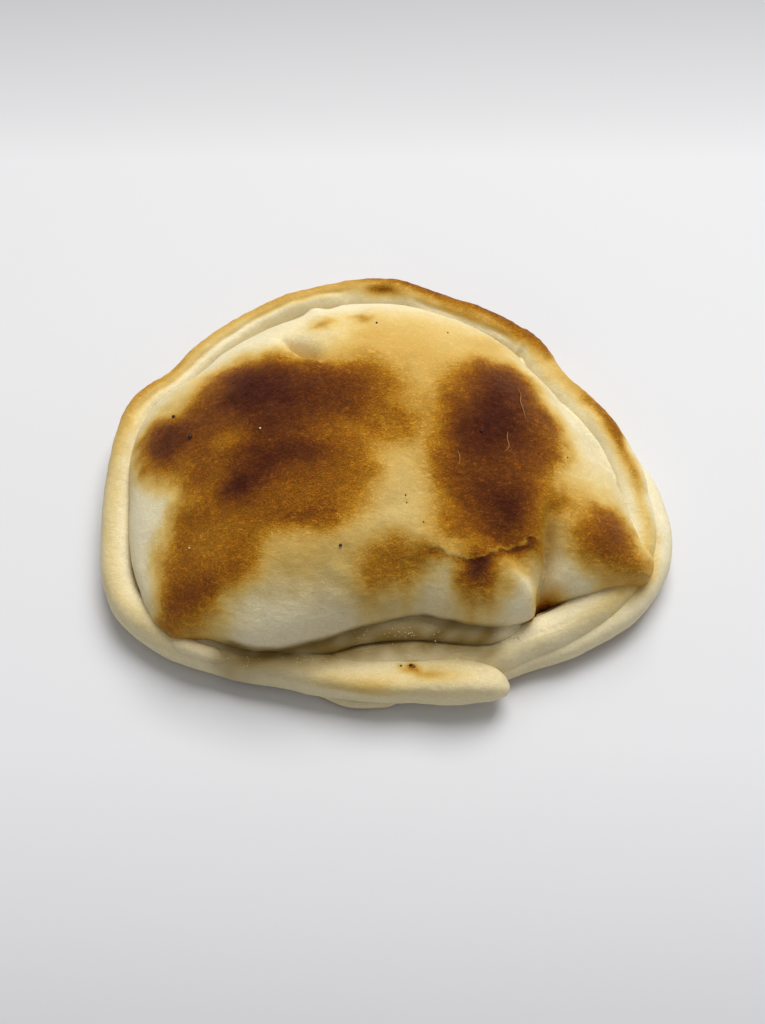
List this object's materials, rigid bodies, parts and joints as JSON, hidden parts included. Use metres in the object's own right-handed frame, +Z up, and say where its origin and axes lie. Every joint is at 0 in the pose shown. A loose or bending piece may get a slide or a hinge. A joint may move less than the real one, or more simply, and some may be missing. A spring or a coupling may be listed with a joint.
{
  "type": "empanada",
  "caption": "Oven-baked empanada: a puffed dome of browned dough inside a hand-rolled border, whose ends overlap on the near side.",
  "frame": {"origin": "middle of the bounding box in plan, on the surface that the empanada rests on", "axes": "+X along its length, +Y from the side where the border's ends overlap towards the rounded far side, +Z up"},
  "size_m": [0.158, 0.1316, 0.04],
  "materials": {
    "baked_dough": "satin"
  },
  "bodies": {
    "root": {"empanada": "baked_dough"}
  },
  "joints": []
}
